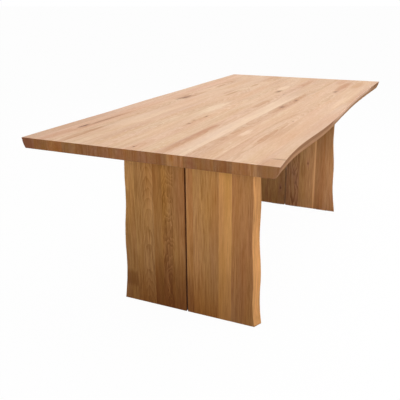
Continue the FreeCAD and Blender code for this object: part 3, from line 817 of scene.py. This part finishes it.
def grooveCutter(batten, room):
    # the dovetail of a batten's groove, from the batten's end out past the back edge
    low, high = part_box(batten)
    points = pointsOf(nodes[batten])
    middle = (low.x + high.x) / 2
    tail = high.x - middle + room
    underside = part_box("top_stave_02")[0].z
    atNeck = points[np.abs(points[:, 2] - underside) < touching, 0]
    neck = np.abs(atNeck - middle).max() + room
    slope = (tail - neck) / (high.z - underside)
    foot, bottom = neck - slope * grooveShape["below"], underside - grooveShape["below"]
    profile = [(-foot, bottom), (-tail, high.z), (tail, high.z), (foot, bottom)]
    shape = bmesh.new()
    rings = [[shape.verts.new((middle + x, y, z)) for x, z in profile]
             for y in (high.y - grooveShape["overlap"], grooveShape["outTo"])]
    skin(shape, rings)
    return placed("cutter", meshOf(shape, "cutter"))


def cutAway(thing, cutters, operation="DIFFERENCE"):
    for cutter in cutters:
        change = thing.modifiers.new("groove", "BOOLEAN")
        change.operation = operation
        change.solver = "EXACT"
        change.object = cutter
    bpy.context.view_layer.update()
    sight = bpy.context.evaluated_depsgraph_get()
    mesh = bpy.data.meshes.new_from_object(thing.evaluated_get(sight))
    thing.modifiers.clear()
    thing.data = mesh
    for cutter in cutters:
        bpy.data.objects.remove(cutter)


def mouthPlug(side, stave):
    # closes the groove between the batten's end and the back edge, whose shape it takes up
    batten = side + "_top_batten"
    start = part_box(batten)[1].y + grooveShape["plugGap"]
    plug = placed(side + "_batten_plug", stave.data.copy())
    joint = min(vertex.co.y for vertex in plug.data.vertices)
    for vertex in plug.data.vertices:
        if vertex.co.y < joint + touching:
            vertex.co.y = start
    cutAway(plug, [grooveCutter(batten, 0)], "INTERSECT")
    look = {**woods["top_stave_15"], "seed": grooveShape["plugSeed"][side],
            "knots": [], "cracks": [], "patches": []}
    dress(plug, woodMaterial(plug.name, "x", look), edgeMaterial(plug.name + "_edge", "x", look))
    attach(plug, "root")


def topLevels():
    low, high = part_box("top_stave_01")
    heights, rim = pointsOf(nodes["top_stave_01"])[:, 2], edgeShape["rim"]
    inside = heights[(heights > low.z + rim) & (heights < high.z - rim)]
    return [high.z, float(np.median(inside)), low.z]


def legLevels(name):
    low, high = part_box(name)
    return [low.x, high.x] if low.x < 0 else [high.x, low.x]


# Each live stave: the axis that it runs along, and the side that its live edge is on.
liveStaves = {
    "top_stave_01": (0, -1), "top_stave_16": (0, 1),
    "left_front_leg_stave_4": (2, -1), "left_back_leg_stave_5": (2, 1),
    "right_front_leg_stave_4": (2, -1), "right_back_leg_stave_4": (2, 1),
}
for name, (along, side) in liveStaves.items():
    levels = topLevels() if along == 0 else legLevels(name)
    stave = liveStave(name, along, side, levels, woods[name])
    sawn = nodes[name].data.materials[0]
    dress(stave, sawn, edgeMaterial(name + "_edge", "xyz"[along], woods[name]))
    if name == "top_stave_16":
        for end in ("left", "right"):
            mouthPlug(end, stave)
        cutAway(stave, [grooveCutter(end + "_top_batten", grooveShape["room"])
                        for end in ("left", "right")])
    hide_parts(name)
    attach(stave, "root")
print("live edges made:", len(liveStaves))


battenLook = {
    "light": (0.46, 0.27, 0.14), "dark": (0.25, 0.13, 0.060),
    "streak": (0, 3, 95, 95, 4, 0.6),         # rows for noiseOf
    "fibre": (0, 30, 800, 800, 3, 0.5),
    "streaking": 1.4,
    "fibring": 0.5,
    "roughness": (0.62, 0.2),  # and how much it changes
    "raised": 0.5,             # height of the streaks beside the fibres
    "bump": (0.0005, 0.5),
}


def battenMaterial():
    material, shader, start = newMaterial("battenWood")
    x, y, z = staveFrame(start, "x")
    streak, fibre = (noiseOf(start, battenLook[layer], y, x, z) for layer in ("streak", "fibre"))
    tone = (streak - 0.5) * battenLook["streaking"] + (fibre - 0.5) * battenLook["fibring"] + 0.5
    colour = tone.rise(0.0, 1.0).tint(opaque(battenLook["light"]), opaque(battenLook["dark"]))
    rough, change = battenLook["roughness"]
    feed(shader, "Base Color", colour)
    feed(shader, "Roughness", rough + (fibre - 0.5) * change)
    feed(shader, "Normal", bump(start, fibre + streak * battenLook["raised"], battenLook["bump"]))
    return material


battenWood = battenMaterial()
for side in ("left", "right"):
    dress(nodes[side + "_top_batten"], battenWood)


# Powder coat or plating: a fine orange-peel grain and cloudy gloss.
metalLook = {
    "blackSteel": {"colour": (0.022, 0.022, 0.023), "roughness": 0.50, "metallic": 0.0},
    "zinc": {"colour": (0.60, 0.61, 0.63), "roughness": 0.32, "metallic": 1.0},
    "brass": {"colour": (0.78, 0.57, 0.26), "roughness": 0.30, "metallic": 1.0},
    "screwBlack": {"colour": (0.035, 0.034, 0.033), "roughness": 0.42, "metallic": 0.6},
}
metalSkin = {
    "peel": (0, 1900, 1900, 1900, 2, 0.5),    # rows for noiseOf
    "cloud": (0, 38, 38, 38, 4, 0.6),
    "peeling": 0.5,
    "clouding": 0.8,
    "dark": 0.78,              # darkest and lightest, for the metal's own colour
    "light": 1.25,
    "dull": 0.25,              # how cloudy the gloss is
    "bump": (0.00012, 0.5),
}


def metalMaterial(name):
    look = metalLook[name]
    material, shader, start = newMaterial(name)
    x, y, z = staveFrame(start, "x")
    peel, cloud = (noiseOf(start, metalSkin[layer], x, y, z) for layer in ("peel", "cloud"))
    tone = (cloud - 0.5) * metalSkin["clouding"] + (peel - 0.5) * metalSkin["peeling"] + 0.5
    dark, light = (opaque(look["colour"], metalSkin[end]) for end in ("dark", "light"))
    feed(shader, "Base Color", tone.tint(dark, light))
    feed(shader, "Roughness", look["roughness"] + (cloud - 0.5) * metalSkin["dull"])
    feed(shader, "Metallic", look["metallic"])
    feed(shader, "Normal", bump(start, peel, metalSkin["bump"]))
    return material


feltLook = {
    "dark": (0.035, 0.026, 0.020), "light": (0.13, 0.10, 0.08), "roughness": 0.95,
    "fluff": (0, 420, 420, 420, 5, 0.7),      # a row for noiseOf
    "bump": (0.0006, 0.8),
    "softEdge": (0.0008, 2),   # rounding of a pad's edges, and its steps
}


def feltMaterial():
    material, shader, start = newMaterial("felt")
    fluff = noiseOf(start, feltLook["fluff"], *staveFrame(start, "x"))
    feed(shader, "Base Color", fluff.tint(opaque(feltLook["dark"]), opaque(feltLook["light"])))
    feed(shader, "Roughness", feltLook["roughness"])
    feed(shader, "Normal", bump(start, fluff, feltLook["bump"]))
    return material


blackSteel, zinc, brass, screwBlack = (metalMaterial(name) for name in metalLook)
felt = feltMaterial()
for leg in ("left", "right"):
    dress(nodes[leg + "_leg_bracket"], blackSteel)
    dress(nodes[leg + "_top_bolts"], zinc)
    dress(nodes[leg + "_top_washers"], zinc)
    dress(nodes[leg + "_top_inserts"], brass)
    for half in ("front", "back"):
        pads = nodes["%s_%s_leg_glides" % (leg, half)]
        dress(pads, felt)
        soft = pads.modifiers.new("softEdges", "BEVEL")
        soft.width, soft.segments = feltLook["softEdge"]
print("fittings dressed")


# The screws that hold the brackets to the legs.
screwLook = {
    "first": 0.036,            # from the middle of the gap
    "last": 0.030,             # from the bracket's end
    "count": 3,                # in each panel
    "drop": 0.048,             # below the underside of the top
    "plate": 0.006,            # thickness of the bracket's steel
    "turn": 0.4,               # each was driven home at another angle
    "headRadius": 0.0058,
    "headHeight": 0.0030,
    "crown": [(1, 0.55), (0.82, 0.82), (0.45, 0.97)],     # shares of that height and radius
    "lip": 0.0002,             # height of the widest place over the seat
    "seat": 0.96,              # radius of the seat, as a share
    "socket": 0.0022,          # from the middle of the drive to its corners
    "socketDepth": 0.0016,
    "shank": 0.0029,
    "length": 0.033,
    "taper": 0.006,            # length of the point, and the radius at its tip
    "tip": 0.0003,
    "sides": 24,
}


def hexagonReach(corner, turn):
    # from the middle of a hexagon to its side, with a corner at 0
    sixth = math.pi / 3
    return corner * math.cos(sixth / 2) / math.cos(turn % sixth - sixth / 2)


def screwMesh():
    # a pan head with a hexagon socket, a shank and a point, along +X with its seat at 0
    look = screwLook
    head, height, socket = look["headRadius"], look["headHeight"], look["socket"]
    profile = [(height - look["socketDepth"], socket), (height, socket)]
    profile += [(height * up, head * out) for up, out in look["crown"]]
    profile += [(look["lip"], head), (0, head * look["seat"]), (0, look["shank"]),
                (-look["length"] + look["taper"], look["shank"]), (-look["length"], look["tip"])]
    shape = bmesh.new()
    rings = []
    for place, radius in profile:
        ring = []
        for k in range(look["sides"]):
            turn = 2 * math.pi * k / look["sides"]
            reach = hexagonReach(radius, turn) if radius == socket else radius
            ring.append(shape.verts.new((place, reach * math.cos(turn), reach * math.sin(turn))))
        rings.append(ring)
    skin(shape, rings)
    mesh = meshOf(shape, "legScrew")
    mesh.materials.append(screwBlack)
    return mesh


screw = screwMesh()
for leg, way in (("left", 1), ("right", -1)):
    low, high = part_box(leg + "_leg_bracket")
    legFace = low.x if way > 0 else high.x
    middle, half = (low.y + high.y) / 2, (high.y - low.y) / 2
    count = screwLook["count"]
    pitch = (half - screwLook["last"] - screwLook["first"]) / (count - 1)
    for side in (-1, 1):
        for number in range(count):
            label = number + 1 + count * (side > 0)
            thing = placed("%s_leg_screw_%d" % (leg, label), screw)
            y = middle + side * (screwLook["first"] + number * pitch)
            thing.location = (legFace + way * screwLook["plate"], y, high.z - screwLook["drop"])
            turn = screwLook["turn"] * number + side
            thing.rotation_euler = (turn, 0, 0 if way > 0 else math.pi)
            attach(thing, "root")
print("screws made")


studio = {
    "floorTone": 0.94,
    "floorBounce": 0.30,       # what the floor throws back up at the table
    "floorGlow": 0.97,         # how much of the floor's white doesn't need light
    "floorReach": 60,          # half its side
    "floorParts": 12,          # squares along a side
    "surround": 0.42,          # light from all round
    "lamps": [
        # name, place, aimed at, width, height, watts, spread in degrees
        ("overhead", (0.8, 0.3, 3.3), (0.1, 0.05, 0.7), 4.2, 3.2, 52, 180),
        ("nearEnd", (-3.3, -0.4, 1.25), (-0.75, -0.1, 0.74), 1.3, 0.9, 3.1, 38),
        ("farLeg", (-2.6, -1.15, 0.8), (0.7, -0.34, 0.22), 0.3, 0.3, 0.4, 14),
        ("frontSide", (-0.4, -3.0, 1.7), (0.0, 0.0, 0.55), 3.4, 1.4, 78, 180),
    ],
}
white = (1, 1, 1, 1)


def shownDirectly(start):
    # 1 for what the camera sees, also in a gloss, and 0 for the light that falls on the table
    direct, glossy, through = (start.node("LightPath", None, None, "Is %s Ray" % kind)
                               for kind in ("Camera", "Glossy", "Transmission"))
    return direct.larger(glossy).larger(through)


def buildWorld():
    world = bpy.data.worlds.new("studio")
    world.use_nodes = True
    scene.world = world
    tree = world.node_tree
    glow = tree.nodes["Background"]
    surround = studio["surround"]
    feed(glow, "Color", white)
    feed(glow, "Strength", shownDirectly(Wire(tree)) * (1 - surround) + surround)


def buildFloor():
    shape = bmesh.new()
    parts = studio["floorParts"]
    bmesh.ops.create_grid(shape, x_segments=parts, y_segments=parts, size=studio["floorReach"])
    floor = placed("floor", meshOf(shape, "floor"))
    material, shader, start = newMaterial("floor")
    tree = start.tree
    tree.nodes.remove(shader)
    shown = shownDirectly(start)
    bounced, seen = (opaque([studio[tone]] * 3) for tone in ("floorBounce", "floorTone"))
    lit = start.node("BsdfDiffuse", None, {"Color": shown.tint(bounced, seen)}, "BSDF")
    glow = start.node("Emission", None, {"Color": white, "Strength": 1.0}, "Emission")
    mixed = start.node("MixShader", None, {0: shown * studio["floorGlow"], 1: lit, 2: glow},
                       "Shader")
    feed(tree.nodes["Material Output"], "Surface", mixed)
    floor.data.materials.append(material)


def buildLamps():
    for name, place, target, width, height, watts, spreading in studio["lamps"]:
        data = bpy.data.lights.new(name, "AREA")
        data.shape = "RECTANGLE"
        data.size, data.size_y, data.energy = width, height, watts
        data.spread = math.radians(spreading)
        lamp = placed(name, data)
        lamp.location = place
        lamp.rotation_euler = (Vector(target) - Vector(place)).to_track_quat("-Z", "Y").to_euler()
        lamp.visible_glossy = False       # no lamp glares off the top at a low angle


buildWorld()
buildFloor()
buildLamps()
print("studio built")


view = {"place": (-2.664, -1.042, 1.251), "turn": (70.78, 0.535, -64.31), "lens": 53.09,
        "sensor": 36}
camera = placed("camera", bpy.data.cameras.new("camera"))
camera.location = view["place"]
camera.rotation_euler = [math.radians(angle) for angle in view["turn"]]
camera.data.sensor_width = view["sensor"]
camera.data.lens = view["lens"]
scene.camera = camera
